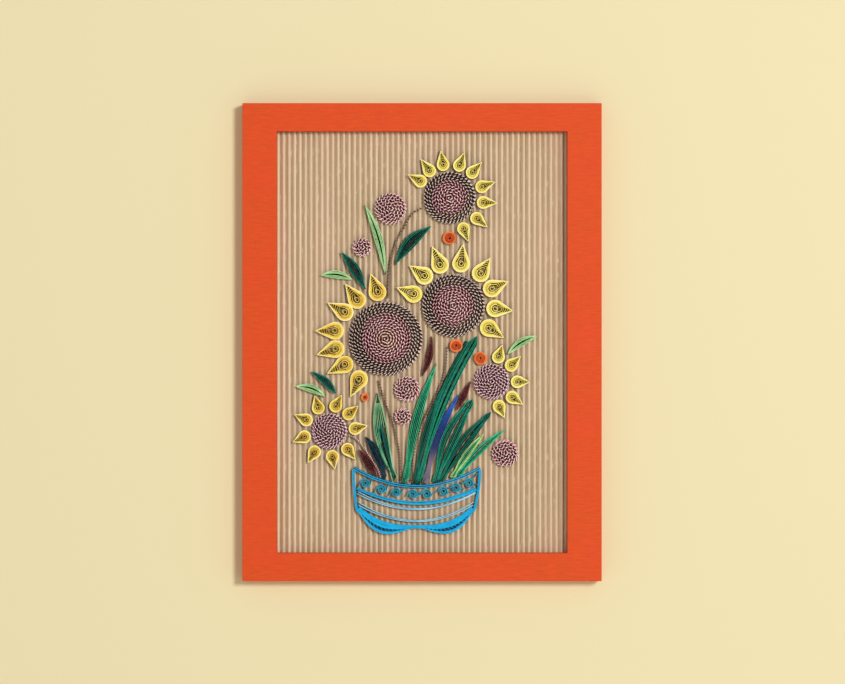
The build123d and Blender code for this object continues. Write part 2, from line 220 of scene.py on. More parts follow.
def kraft():
    """Brown fluted paper with painted light across each flute: painted shade in the valleys and a painted
    highlight on one flank of the crest.
    """
    finish = Finish("kraft_fluting", 0.82)
    walked = finish.math("DIVIDE", finish.math("SUBTRACT", finish.axis("X"), board_low.x), flute_pitch)
    # Painted highlight and painted shade by the place across each flute: dark at the valleys, brightest on
    # one flank of the crest
    tones = finish.ramp(finish.math("FRACT", walked), [
        (0.0, (138, 113, 84)), (0.12, (188, 164, 132)), (0.28, (204, 181, 149)),
        (0.44, (184, 160, 128)), (0.6, (204, 181, 150)), (0.74, (240, 217, 185)),
        (0.86, (197, 173, 141)), (1.0, (138, 113, 84))])
    cloud = finish.noise(26, 4.0, (1.6, 1, 0.35))
    pulp = finish.noise(900, 3.0, (1, 1, 0.16))
    streak = finish.noise(210, 2.0, (1, 1, 0.04))
    tones = finish.mix(tones, (213, 181, 157), cloud, 0.38, 0.66, 0.4)
    tones = finish.mix(tones, (171, 148, 109), streak, 0.45, 0.7, 0.3)
    tones = finish.mix(tones, (232, 214, 184), pulp, 0.56, 0.72, 0.45)
    return finish.done(tones, pulp, 0.05 * MM, 0.5)


def grey_board():
    """Pulp board of the back panel, with flecks of other paper in it."""
    finish = Finish("grey_pulp_board", 0.85)
    cloud = finish.noise(30, 5.0)
    fleck = finish.noise(700, 2.0, (1, 1, 0.5))
    base = finish.mix((150, 139, 122), (170, 160, 144), cloud, 0.35, 0.65)
    base = finish.mix(base, (98, 92, 84), fleck, 0.62, 0.7, 0.7)
    pale = finish.noise(540, 1.0)
    base = finish.mix(base, (206, 200, 186), pale, 0.66, 0.72, 0.6)
    return finish.done(base, finish.math("ADD", cloud, fleck), 0.08 * MM, 0.5)


def brushed_steel():
    """Zinc-bright steel, brushed along its length."""
    finish = Finish("brushed_steel", 0.34, 1.0)
    grain = finish.noise(900, 3.0, (0.04, 1, 1))
    toned = finish.mix((168, 170, 172), (208, 210, 212), grain, 0.3, 0.7)
    return finish.done(toned, grain, 0.02 * MM, 0.4)


def paper(name, face, edge, mottle, mottle_share=0.5, mottle_scale=240):
    """Dyed strip paper: the faces, with painted shade that darkens them towards the board, and the cut edge
    that faces the viewer.

    Face, edge and mottle are screen values; the mottle lies in patches on the cut edge.
    """
    side = Finish(name + "_paper_face", 0.8)
    fibre = side.noise(1500, 3.0)
    # Painted shade: each face darkens to about a third of its colour within that depth behind the cut edge
    toned = side.mix(face, shade(face, 0.35), side.axis("Y"), strip_front_y, strip_front_y + painted_shade_depth)
    toned = side.mix(toned, edge, fibre, 0.5, 0.75, 0.15)
    face_material = side.done(toned, fibre, 0.03 * MM, 0.5)
    rim = Finish(name + "_paper_edge", 0.7)
    fibre = rim.noise(1100, 2.0)
    patch = rim.noise(mottle_scale, 2.0)
    toned = rim.mix(shade(edge, 1.06), shade(edge, 0.86), fibre, 0.35, 0.7, 0.5)
    toned = rim.mix(toned, mottle, patch, 0.42, 0.6, mottle_share)
    return face_material, rim.done(toned, fibre, 0.04 * MM, 0.5)


def blue_to_mauve():
    """Paper dyed blue at the tip, purple in the middle and grey-mauve near the bowl."""
    low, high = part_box("blue_blade")
    stops = [(0.0, (134, 124, 132)), (0.26, (112, 104, 126)), (0.4, (52, 62, 116)),
             (0.6, (32, 58, 132)), (0.8, (28, 80, 168)), (1.0, (34, 98, 190))]
    pair = []
    # The faces take the colours at six tenths, as painted shade between the strips; the cut edges take them a
    # little lighter
    for part, share in (("face", 0.6), ("edge", 1.1)):
        finish = Finish("blue_to_mauve_" + part, 0.75)
        rise = finish.between(finish.axis("Z"), low.z, high.z)
        toned = finish.ramp(rise, [(position, shade(colour, share)) for position, colour in stops])
        fibre = finish.noise(1200, 2.0)
        toned = finish.mix(toned, (120, 120, 170), fibre, 0.45, 0.7, 0.25)
        pair.append(finish.done(toned, fibre, 0.03 * MM, 0.5))
    return tuple(pair)


# Paths in the plane of the picture


def at(shares):
    """A place in the picture, from its shares of the window."""
    return Vector((shares[0] * opening_width, 0, shares[1] * opening_height))


def heading(angle):
    return Vector((cos(angle), 0, sin(angle)))


def left_of(direction):
    return Vector((-direction.z, 0, direction.x)).normalized()


def centre_of(node):
    low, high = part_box(node)
    return Vector(((low.x + high.x) / 2, 0, (low.z + high.z) / 2))


def radius_of(node):
    return (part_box(node)[1].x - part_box(node)[0].x) / 2


def smooth(points, steps):
    """A soft curve through the points."""
    padded = [points[0] * 2 - points[1], *points, points[-1] * 2 - points[-2]]
    path = []
    for before, start, end, after in zip(padded, padded[1:], padded[2:], padded[3:]):
        for step in range(steps):
            t = step / steps
            pull = start * 2 + (end - before) * t
            pull += (before * 2 - start * 5 + end * 4 - after) * t ** 2
            pull += (start * 3 - before - end * 3 + after) * t ** 3
            path.append(pull / 2)
    path.append(points[-1])
    return path


def beside(path, distance):
    """The path moved to its left."""
    moved = []
    for index, point in enumerate(path):
        before = path[max(index - 1, 0)]
        after = path[min(index + 1, len(path) - 1)]
        moved.append(point + left_of(after - before) * distance)
    return moved


def crimp(path, wave, swing, tapered=False):
    """The path folded into a zigzag, as a crimping tool leaves it."""
    folded = []
    side = 1
    walked = 0.0
    for index, (start, end) in enumerate(zip(path, path[1:])):
        span = (end - start).length
        across = left_of(end - start)
        reach = swing / 2 * (sin(pi * (index + 0.5) / len(path)) if tapered else 1)
        while walked < span:
            aside = across * (side * reach * rng.uniform(*crimp_range))
            folded.append(start.lerp(end, walked / span) + aside)
            side = -side
            walked += wave / 2 * rng.uniform(*wave_range)
        walked -= span
    return folded


def crimped_turns(centre, first_radius, last_radius, pitch, wave, swing, angle=0.0, last_turn=0.0):
    """A crimped strip wound round a centre, and the angle at which it ends.

    Last turn is the angle that it still runs on at the last radius.
    """
    path = []
    radius = first_radius
    side = 1
    while radius < last_radius or last_turn > 0:
        reach = radius + side * swing / 2 * rng.uniform(*coil_crimp_range)
        path.append(centre + heading(angle) * reach)
        turn = wave / 2 * rng.uniform(*wave_range) / radius
        angle += turn
        last_turn -= turn if radius >= last_radius else 0
        radius = min(radius + pitch * turn / (2 * pi), last_radius)
        side = -side
    return path, angle


def plain_turns(centre, first_radius, last_radius, pitch, steps, turned=0.0):
    """A plain strip wound round a centre."""
    first = round(steps * first_radius / pitch)
    last = round(steps * last_radius / pitch)
    path = []
    for step in range(first, last + 1):
        path.append(centre + heading(turned + 2 * pi * step / steps) * (pitch * step / steps))
    return path


# Pieces of standing strip


def draw(bm, path, closed=False):
    """Draws a path with a pen: one vertex, extruded from point to point."""
    first = pen = bm.verts.new(path[0])
    for point in path[1:]:
        pen = bmesh.ops.extrude_vert_indiv(bm, verts=[pen])["verts"][0]
        pen.co = point
    if closed:
        bm.edges.new((pen, first))


def verts_in(made):
    """The vertices among what an operation has made."""
    return [part for part in made["geom"] if isinstance(part, bmesh.types.BMVert)]


def linked(name, data):
    """An object in the scene, with that mesh, lamp or camera."""
    thing = bpy.data.objects.new(name, data)
    scene.collection.objects.link(thing)
    return thing


def new_object(name, bm, materials):
    """An object made from a mesh under construction."""
    mesh = bpy.data.meshes.new(name)
    bm.to_mesh(mesh)
    bm.free()
    for material in materials:
        mesh.materials.append(material)
    return linked(name, mesh)


def thicken(piece, thickness):
    """Gives the sheets of a piece their thickness, half on either side."""
    wall = piece.modifiers.new("wall", "SOLIDIFY")
    wall.thickness = thickness
    wall.offset = 0
    return wall


def settle(piece, nodes):
    """Fixes a piece to the only body, in place of the plain nodes if there are any."""
    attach(piece, "root")
    if nodes:
        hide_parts(*nodes)
    return piece


def standing_strip(path, closed, lean, painted_shade_on_folds):
    """A mesh of one strip, without thickness: front edge along the path, foot on the board."""
    bm = bmesh.new()
    draw(bm, path, closed)
    fronts = bm.verts[:]
    backs = verts_in(bmesh.ops.extrude_edge_only(bm, edges=bm.edges[:]))
    height = strip_width * rng.uniform(*height_range)
    bmesh.ops.translate(bm, verts=backs, vec=(0, crest_y, 0))
    bmesh.ops.translate(bm, verts=fronts, vec=(0, crest_y - height, 0))
    if lean:
        for vert, place in zip(fronts, beside(path, lean)):
            for edge in vert.link_edges:
                foot = edge.other_vert(vert)
                if foot.co.y > crest_y - height / 2:
                    foot.co.x, foot.co.z = place.x, place.z
    # Every other length of a crimped strip takes the shaded pair: painted shade on alternate folds
    if painted_shade_on_folds:
        bm.verts.index_update()
        for face in bm.faces:
            if min(vert.index for vert in face.verts) % 2:
                face.material_index = 2
    mesh = bpy.data.meshes.new("strip")
    bm.to_mesh(mesh)
    bm.free()
    return mesh


def strips(name, nodes, paths, papers, thickness=paper_thickness, closed=False, lean=0.0):
    """Stands paper strips on the board along the paths, in place of the plain nodes.

    Papers is a name in looks: face and cut edge, and a second pair, darker as painted shade, for every other
    length of the strip.
    Lean is how far the foot of a strip stands to the left of its path.
    """
    bm = bmesh.new()
    for path in paths:
        strip = standing_strip(path, closed, lean, len(looks[papers]) > 2)
        bm.from_mesh(strip)
        bpy.data.meshes.remove(strip)
    piece = new_object(name, bm, looks[papers])
    wall = thicken(piece, thickness)
    wall.use_even_offset = False
    wall.material_offset_rim = 1
    settle(piece, nodes)


# Frame, board, panel and hanger


def finish_mesh(name, bm, material, nodes, smooth_angle=None):
    """Makes a piece of a mesh under construction, its faces turned one way."""
    bmesh.ops.recalc_face_normals(bm, faces=bm.faces[:])
    piece = new_object(name, bm, [material])
    if smooth_angle is not None:
        piece.data.shade_smooth()
        piece.data.set_sharp_from_angle(angle=smooth_angle)
    return settle(piece, nodes)


def ring_edges(bm, half_width, half_height, y):
    """The edges of the rectangle of that size at that depth."""
    def is_corner(vert):
        misses = (vert.co.y - y, abs(vert.co.x) - half_width, abs(vert.co.z) - half_height)
        return all(abs(miss) < same_place for miss in misses)
    return [edge for edge in bm.edges if all(is_corner(vert) for vert in edge.verts)]


def windowed_face(half_size, half_window, y):
    """A mesh of one flat sheet with a window in it."""
    bm = bmesh.new()
    bmesh.ops.create_grid(bm, x_segments=1, y_segments=1, size=0.5)
    for vert in bm.verts:
        vert.co = Vector((vert.co.x * 2 * half_size[0], y, vert.co.y * 2 * half_size[1]))
    bm.normal_update()
    border = bmesh.ops.inset_region(bm, faces=bm.faces[:], thickness=half_size[0] - half_window[0],
                                    use_boundary=True)
    window = [face for face in bm.faces if face not in border["faces"]]
    for vert in window[0].verts:
        vert.co.x = copysign(half_window[0], vert.co.x)
        vert.co.z = copysign(half_window[1], vert.co.z)
    bmesh.ops.delete(bm, geom=window, context="FACES_ONLY")
    return bm


def folded_frame(material):
    """One sheet of card: a face with a window, folded back round both edges and in behind."""
    skin = card_thickness / 2
    face_y, back_y = front_y + skin, rear_y - skin
    outer = (frame_width / 2 - skin, frame_height / 2 - skin)
    inner = (opening_width / 2 + skin, opening_height / 2 + skin)
    flap = (frame_width / 2 - rear_flap_width, frame_height / 2 - rear_flap_width)
    bm = windowed_face(outer, inner, face_y)

    def fold(size, y, to_size, to_y):
        for vert in verts_in(bmesh.ops.extrude_edge_only(bm, edges=ring_edges(bm, *size, y))):
            vert.co = Vector((copysign(to_size[0], vert.co.x), to_y, copysign(to_size[1], vert.co.z)))

    fold(inner, face_y, inner, crest_y)
    fold(outer, face_y, outer, back_y)
    fold(outer, back_y, flap, back_y)
    piece = finish_mesh("folded_card_frame", bm, material, ["frame"])
    card_wall = thicken(piece, card_thickness)
    card_wall.solidify_mode = "NON_MANIFOLD"
    card_wall.nonmanifold_thickness_mode = "CONSTRAINTS"
    card_wall.nonmanifold_boundary_mode = "FLAT"
    fold_edge = piece.modifiers.new("fold", "BEVEL")
    fold_edge.width = fold_radius
    fold_edge.segments = fold_segments
    fold_edge.limit_method = "ANGLE"
    fold_edge.angle_limit = fold_angle


def fluted_sheet(material):
    """The fluted paper of the board, one arc up and one arc down in each flute."""
    top = crest_y + flute_sheet / 2
    bottom = liner_back_y - liner_sheet - flute_sheet / 2
    path = []
    for step in range(flute_count * flute_steps + 1):
        level = (1 + cos(2 * pi * step / flute_steps)) / 2
        depth = top + (bottom - top) * level ** flute_roundness
        path.append(Vector((board_low.x + flute_pitch * step / flute_steps, depth, board_low.z)))
    bm = bmesh.new()
    draw(bm, path)
    edges = bm.edges[:]
    rise = (board_high.z - board_low.z) / board_rows
    for row in range(board_rows):
        made = bmesh.ops.extrude_edge_only(bm, edges=edges)
        edges = [part for part in made["geom"] if isinstance(part, bmesh.types.BMEdge)]
        bmesh.ops.translate(bm, verts=verts_in(made), vec=(0, 0, rise))
    piece = finish_mesh("fluted_kraft_sheet", bm, material, ["corrugated_board"], crest_angle)
    thicken(piece, flute_sheet)


def liner(material):
    """The flat paper that the flutes are glued to."""
    size = board_high - board_low
    bm = bmesh.new()
    bmesh.ops.create_cube(bm, size=1)
    bmesh.ops.scale(bm, verts=bm.verts[:], vec=(size.x, liner_sheet, size.z))
    bmesh.ops.translate(bm, verts=bm.verts[:], vec=(0, liner_back_y - liner_sheet / 2, 0))
    bmesh.ops.subdivide_edges(bm, edges=bm.edges[:], cuts=3, use_grid_fill=True)
    finish_mesh("kraft_liner", bm, material, [])


def dress(node, material):
    """Gives a solid that stays as it is its material."""
    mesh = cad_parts[node].data
    mesh.materials.clear()
    mesh.materials.append(material)


# Flowers

# Turns of a teardrop petal as shares of its coil's radius, and ribs as shares of the length of its wall
heart_shares = (0.15, 0.33)
fan_shares = (0.5, 0.7, 0.79, 0.86, 0.92)
rim_shares = (0.93, 1.0)
packed_shares = (0.44, 0.6)
rib_shares = (0.86, 0.5)

# How far out the turns come to a point: the first in its radii, the last as a share of the petal, the rims
first_point = 1.6
last_point = 0.83
rim_point_step = 1.9
bluntest = 0.97

petal_steps = 10
petal_strip = 0.036
petal_lean = 0.3 * MM


def petal_turn(centre, direction, radius, reach, tip_turn, side, wall_angle=None):
    """One turn of a petal: from its tip round the coil, first across to the far wall if that is given."""
    touch = acos(min(radius / reach, bluntest))
    turn = [centre + heading(direction + tip_turn) * reach]
    first = side * touch
    if wall_angle is not None:
        first = wall_angle - tip_turn
        along = (reach * reach - radius * radius) ** 0.5
        wall_foot = centre + heading(direction + wall_angle) * radius
        up_the_wall = heading(direction + wall_angle - side * pi / 2)
        for share in rib_shares:
            turn.append(wall_foot + up_the_wall * (share * along))
    last = side * (2 * pi - touch)
    for step in range(petal_steps + 1):
        angle = direction + tip_turn + first + (last - first) * step / petal_steps
        turn.append(centre + heading(angle) * radius)
    return turn


def petal_paths(centre, direction, radius, reach, side):
    """A loose coil whose outer turns are drawn out to a point along the same wall, and its two rim turns."""
    wall_touch = acos(radius / reach)
    eye, heart = (share * radius for share in heart_shares)
    inside = plain_turns(centre, eye, heart, eye, 12, direction)
    shortest = first_point * fan_shares[0] * radius
    for index, share in enumerate(fan_shares):
        far = shortest + (last_point * reach - shortest) * index / (len(fan_shares) - 1)
        touch = acos(min(share * radius / far, bluntest))
        inside += petal_turn(centre, direction, share * radius, far, -side * (wall_touch - touch), side,
                             side * wall_touch)
    rim = []
    for share in rim_shares:
        far = reach - (1 - share) * radius * rim_point_step
        touch = acos(share * radius / far)
        rim += petal_turn(centre, direction, share * radius, far, -side * (wall_touch - touch), side)
    inside.append(rim[0])
    rim.append(centre + heading(direction) * reach)
    return inside, rim


def packed_turns(centre, direction, radius):
    """The turns that lie close together on the side of the coil away from the tip."""
    turns = []
    for share in packed_shares:
        start = direction + radians(60 + 30 * share)
        arc = 2 * pi - 2 * (start - direction)
        turns.append([centre + heading(start + arc * step / petal_steps) * (share * radius)
                      for step in range(petal_steps + 1)])
    return turns


# Petals, in mm and degrees: the coil they stand round, length and width, then for each petal its angle round
# the coil, its own turn and its gap to the coil, and how much longer some of them are
petal_table = {
    "top": ("dark", 13.2, 8.3, (150.5, 127, 101.5, 73.5, 48.5, 19, -8, -37.5, -66),
            (3, 0, -2, -5, -2, 1, 6, -2, -3), [0.5] * 9, {}),
    "middle": ("dark", 17.3, 11.4, (164, 134.5, 108.5, 80, 50, 24, -4, -32.5),
               (-5, 12, 5, 4, 8, 0, -4, -1), (0.5, 0.5, 1.3, 1.1, 0.8, 0.6, 0.5, 0.5), {2: 1.2, 3: 1.0}),
    "left": ("dark", 18.3, 11.4, (100, 126.5, 147, 171, 191.5, 212, 236.5),
             (11, 0, 5, 10, 6, -5, 8), (0.7, 1.3, 1.6, 3.2, 3.2, 1.3, 1.3), {}),
    "lower": ("pink", 12.4, 8.3, (116, 76, 41.5, 5.5, -45, -83.5, 234.5, 193, 154.5),
              (-10, -14, -1, 8, -8, 5, 4, 12, 2), [0.5] * 9, {}),
    "right": ("pink", 12.4, 8.3, (74.5, 40, 0, -37, -73), (-2, 4, -1, 3, 9), [0.5] * 5, {}),
}


def flower_petals(name, papers, rim_papers):
    """The petals round one flower."""
    coil, length, width, angles, turns, gaps, longer = petal_table[name]
    coil_node = f"{name}_flower_{coil}_coil"
    length, width = length * MM, width * MM
    thickness = petal_strip * width
    radius = width / 2 - thickness / 2
    insides, rims, packed = [], [], []
    for index, (angle, turn, gap) in enumerate(zip(angles, turns, gaps)):
        reach = length - width / 2 + longer.get(index, 0) * MM
        away = radius_of(coil_node) + gap * MM + width / 2
        centre = centre_of(coil_node) + heading(radians(angle)) * away
        direction = radians(angle + turn)
        inside, rim = petal_paths(centre, direction, radius, reach, 1 if turn >= 0 else -1)
        insides.append(inside)
        rims.append(rim)
        packed += packed_turns(centre, direction, radius)
    strips(name + "_teardrop_turns", [name + "_flower_petals"], insides, papers,
           thickness * 0.9, lean=petal_lean)
    strips(name + "_teardrop_rims", [], rims, rim_papers, thickness * 1.1, lean=petal_lean)
    strips(name + "_packed_turns", [], packed, papers, thickness * 0.64)


# Crimped coils
ring_pitch = 1.75 * MM
crimp_wave = 2.5 * MM
crimp_swing = 1.0 * MM
coil_lean = 0.7 * MM
blend_width = 3.2 * MM
closing_turn = 5.8
small_wave = 2.3 * MM
small_swing = 1.2 * MM
core_crimp = (ring_pitch, 2.4 * MM, 0.45 * MM)
rosette_crimp = (1.85 * MM, 2.5 * MM, 1.35 * MM)
coil_eye = 0.7 * MM
heart_pitch = 1.7 * MM
heart_corners = 5
heart_radius = 3.1 * MM
small_heart_radius = 1.7 * MM


def coil_heart(centre, radius):
    """The first turns of a crimped coil, in flat lengths, and the angle at which they end."""
    return plain_turns(centre, coil_eye, radius, heart_pitch, heart_corners), 2 * pi * radius / heart_pitch


def crimped_coil(name, nodes, path, papers):
    strips(name, nodes, [path], papers, crimped_thickness, lean=coil_lean)


def two_colour_centre(name, papers_pink, papers_between, papers_dark, core_radius=0.0, papers_core=None):
    """A pink crimped coil, dusky in its last turns, with a dark crimped strip wound on round it."""
    dark_node, pink_node = name + "_flower_dark_coil", name + "_flower_pink_coil"
    centre = centre_of(dark_node)
    start = heart_radius
    heart, angle = coil_heart(centre, start)
    if core_radius:
        core, angle = crimped_turns(centre, start, core_radius, *core_crimp, angle)
        crimped_coil(name + "_core_coil", [], heart + core, papers_core)
        start = core_radius
        heart = []
    sizes = (ring_pitch, crimp_wave, crimp_swing)
    blend = radius_of(pink_node) - blend_width
    pink_path, angle = crimped_turns(centre, start, blend, *sizes, angle)
    crimped_coil(name + "_pink_crimped_coil", [pink_node], heart + pink_path, papers_pink)
    between, angle = crimped_turns(centre, blend, radius_of(pink_node), *sizes, angle)
    crimped_coil(name + "_dusky_crimped_coil", [], pink_path[-1:] + between, papers_between)
    limit = radius_of(dark_node) - crimp_swing / 2 - crimped_thickness / 2
    outer, angle = crimped_turns(centre, radius_of(pink_node), limit, *sizes, angle, closing_turn)
    crimped_coil(name + "_dark_crimped_coil", [dark_node], outer, papers_dark)


def small_centre(name, node, colour, papers, pitch=ring_pitch, wave=small_wave, swing=small_swing):
    """A crimped coil of one colour."""
    centre = centre_of(node)
    heart, angle = coil_heart(centre, small_heart_radius)
    limit = radius_of(node) - swing / 2 - crimped_thickness / 2
    outer, angle = crimped_turns(centre, small_heart_radius, limit, pitch, wave, swing, angle, closing_turn)
    crimped_coil(name, [node], heart + outer, papers)


# Tight coils: place as shares of the window, radius in mm
tight_table = (((0.095, 0.247), 4.4), ((0.117, -0.008), 4.3), ((0.202, -0.038), 4.3),
               ((-0.197, -0.131), 2.8))
roll_pitch = 0.72 * MM
roll_gap = 1.1 * MM
rim_pitch = 0.46 * MM
rim_width = 1.0 * MM
rim_thickness = 0.5 * MM


def tight_coils(papers, bright_papers):
    """Tight orange coils: a dark red-orange roll with a bright outer turn."""
    rolls, rims = [], []
    for shares, radius in tight_table:
        outer = radius * MM - paper_thickness / 2
        for turns, first, last, pitch, steps in ((rolls, coil_eye, outer - roll_gap, roll_pitch, 20),
                                                 (rims, outer - rim_width, outer, rim_pitch, 28)):
            turned = rng.uniform(*tight_turn_range)
            turns.append(plain_turns(at(shares), first, last, pitch, steps, turned))
    strips("orange_roll_turns", ["orange_tight_coils"], rolls, papers)
    strips("orange_roll_rims", [], rims, bright_papers, rim_thickness)


# Leaves and blades

leaf_steps = 18
leaf_lean = 0.55 * MM
vein_lean = 0.2 * MM
filling_wave = 1.3 * MM
filling_thickness = 0.38 * MM
# A wide base narrows over the first share of the leaf; a blunt tip counts from the second to the last step
base_share = 0.35
tip_share = 0.5


def leaf_lines(shape, shares, base_width=0.0, tip_width=0.0):
    """Lines from base to tip at shares of the leaf's half width, left side positive."""
    base, tip, width, bow, exponent = shape
    along = tip - base
    across = left_of(along)
    lines = []
    for share in shares:
        line = []
        for step in range(leaf_steps + 1):
            t = step / leaf_steps
            half = max(width / 2 * sin(pi * t ** exponent), base_width / 2 * (1 - t / base_share))
            if t > tip_share:
                half = max(half, tip_width / 2 * min(1, (leaf_steps + 1) * (1 - t)))
            line.append(base + along * t + across * (bow * along.length * sin(pi * t) + share * half))
        lines.append(line)
    return lines


def leaf_loops(shape, shares, *ends):
    """Closed loops nested in a leaf, each as wide as its share."""
    loops = []
    for share in shares:
        left, right = leaf_lines(shape, (share, -share), *ends)
        loops.append(left + right[-2:0:-1])
    return loops


# Leaves: base and tip as shares of the window, width in mm, bow, exponent
leaf_table = {
    "tall_pale_leaf": ((-0.127, 0.162), (-0.197, 0.327), 5.2, -0.048, 1.0),
    "upper_dark_leaf": ((-0.092, 0.185), (0.032, 0.276), 7.2, 0.07, 1.0),
    "left_dark_leaf": ((-0.196, 0.126), (-0.278, 0.214), 6.5, -0.045, 1.0),
    "left_pale_leaf": ((-0.24, 0.149), (-0.349, 0.159), 5.1, -0.088, 1.0),
    "lower_dark_leaf": ((-0.298, -0.121), (-0.383, -0.07), 5.1, -0.07, 0.8),
    "lower_pale_leaf": ((-0.333, -0.129), (-0.436, -0.105), 5.1, -0.1, 1.0),
    "right_pale_leaf": ((0.295, -0.028), (0.397, 0.015), 5.1, 0.078, 1.0),
    "middle_bud": ((0.0, -0.08), (0.033, 0.015), 4.2, -0.07, 0.9),
    "right_bud": ((0.121, -0.16), (0.168, -0.092), 4.2, 0.0, 0.9),
    "inner_dark_blade": ((-0.096, -0.322), (-0.147, -0.184), 6.2, 0.045, 1.0),
    # Those that rise from the bowl, with the base as a share of half the rim's width
    "sage_blade": (-0.325, (-0.154, -0.12), 9.0, 0.05, 1.25),
    "navy_blade": (-0.504, (-0.195, -0.224), 5.8, -0.08, 1.2),
    "bright_blade": (-0.174, (0.051, -0.049), 5.8, 0.042, 1.0),
    "short_dark_blade": (-0.032, (0.089, -0.082), 3.3, 0.042, 1.0),
    "long_dark_blade": (0.0275, (0.19, 0.015), 5.6, 0.044, 1.3),
    "blue_blade": (0.142, (0.127, -0.124), 4.9, 0.05, 1.1),
    "teal_blade": (0.298, (0.174, -0.136), 10.4, 0.052, 1.1),
    "wide_dark_blade": (0.385, (0.238, -0.166), 7.8, 0.043, 1.0),
    "lime_blade": (0.559, (0.216, -0.216), 4.6, 0.04, 1.0),
    "right_green_blade": (0.646, (0.287, -0.207), 4.8, 0.045, 1.0),
    "bowl_bud": (-0.635, (-0.217, -0.255), 5.4, -0.02, 1.0),
}

# Bowl
bowl_middle = at((-0.018, -0.299))
rim_half_width = 40.6 * MM
bowl_height = 25.5 * MM
bowl_taper = 3.4 * MM
left_taper = 1.9 * MM
rim_sag = 11.8 * MM
rim_wall = 1.8 * MM
blade_rim_gap = 0.6 * MM


def bowl_point(across, depth):
    return bowl_middle + Vector((across, 0, -depth))


def above_rim(share):
    """Where a blade or stem ends above the rim, at a share of half its width."""
    return bowl_point(share * rim_half_width, rim_sag * (1 - share * share) - rim_wall / 2 - blade_rim_gap)


def shape_of(name):
    """Base, tip, width, bow and exponent of a leaf or blade."""
    base, tip, width, bow, exponent = leaf_table[name]
    foot = at(base) if isinstance(base, tuple) else above_rim(base)
    return foot, at(tip), width * MM - paper_thickness, bow, exponent


def looped_leaf(name, loops, papers, filling, filling_papers, swing_share):
    """A leaf of nested loops, with crimped strips inside."""
    shape = shape_of(name)
    strips(name + "_loops", [name], leaf_loops(shape, loops), papers, closed=True, lean=-leaf_lean)
    swing = shape[2] * swing_share
    zigzags = [crimp(line[1:-1], filling_wave, swing, True) for line in leaf_lines(shape, filling)]
    strips(name + "_crimped_filling", [], zigzags, filling_papers, filling_thickness)


def looped_blade(name, loops, papers, base_width, veins=(), vein_papers=None, tip_width=0.0):
    """A blade of nested loops, open at its base, with plain strips inside that end short of its tip."""
    shape = shape_of(name)
    ends = (base_width * MM, tip_width * MM)
    strips(name + "_loops", [name], leaf_loops(shape, loops, *ends), papers, closed=True,
           lean=-leaf_lean)
    if veins:
        lines = [line[:-2] for line in leaf_lines(shape, veins, *ends)]
        strips(name + "_inner_strips", [], lines, vein_papers, lean=vein_lean)


def fringe(name, share, papers, wave, swing):
    """A ragged strip along one side of a leaf."""
    line = leaf_lines(shape_of(name), (share,))[0]
    folded = crimp(line[2:-2], wave * MM, swing * MM, True)
    strips(name + "_fringe", [], [folded], papers, thin_thickness)


def crimped_stem(flower, places, papers, wave, swing, rim_share=None, twin=0.0):
    """A crimped strip along a stem, or two side by side, down to the bowl's rim if a share of it is given."""
    points = [at(shares) for shares in places]
    if rim_share is not None:
        points.append(above_rim(rim_share))
    path = smooth(points, 8)
    lines = [beside(path, twin * MM / 2), beside(path, -twin * MM / 2)] if twin else [path]
    strips(flower + ("_stem_strips" if twin else "_stem_strip"), [flower + "_flower_stem"],
           [crimp(line, wave * MM, swing * MM) for line in lines], papers)


# Bowl strips

hands = ((-1, "left"), (1, "right"))
edge_thickness = 0.56 * MM
side_thickness = 0.46 * MM
swag_thickness = 0.5 * MM
foot_thickness = 0.6 * MM
coil_thickness = 0.62 * MM
side_strip_pitch = 0.55
side_wall = 1.5 * MM
end_gap = 0.4 * MM

# Feet: width, bow, depth of the outer end below the bowl, drop to the inner end and its place from the middle
foot_width = 5.4 * MM
foot_bow = -0.195
foot_depth = 0.2 * MM
foot_drop = 12.2 * MM
foot_inner_share = 0.06

# Strips across the bowl: depth as a share of its height, sag and wall in mm, and for each strand how far it
# lies above the middle line in mm: at its left end, what is added in the middle, and at its right end
band_table = {
    "band_strip": (
        0.502, 9.3, 1.3, ((0.42, 0, 0.42), (-0.42, 0, -0.42), (-0.46, -0.1, -0.96), (-0.5, -0.2, -1.5))),
    "upper_swag": (0.627, 11.3, 0.8, ((1.1, 0.4, 0.5), (-0.4, 0.9, 0.0))),
    "lower_swag": (0.863, 11.5, 0.8, ((0.3, -0.5, 0.3),)),
    "second_swag": (0.937, 10.7, 0.8, ((0.1, 0.1, 0.1),)),
    "base_strip": (1.0, 12.0, 1.3, ((0.5, 0, 0.5), (0, 0, 0), (-0.5, 0, -0.5), (-1.0, 0, -1.0))),
}

# Scrolls as shares of half the rim's width, rise of their tails in mm a share, and points of the last tail
scroll_shares = (-0.815, -0.56, -0.33, -0.06, 0.155, 0.42, 0.62, 0.825)
tail_lift = -3
last_tail = ((1.6, 2.9), (2.8, 3.4), (4.2, 4.6), (5.2, 6.4))


def side_at(depth, hand=1):
    """Half width of the bowl at a depth; its left side stands a little steeper."""
    taper = bowl_taper if hand > 0 else left_taper
    return rim_half_width - taper * (depth / bowl_height) ** 2


def sagging(end_depth, sag, right, left, fullness=2, steps=28):
    """A strip across the bowl that sags between its ends."""
    path = []
    for step in range(steps + 1):
        share = 2 * step / steps - 1
        reach = left if share < 0 else right
        path.append(bowl_point(reach * share, end_depth + sag * (1 - abs(share) ** fullness)))
    return path


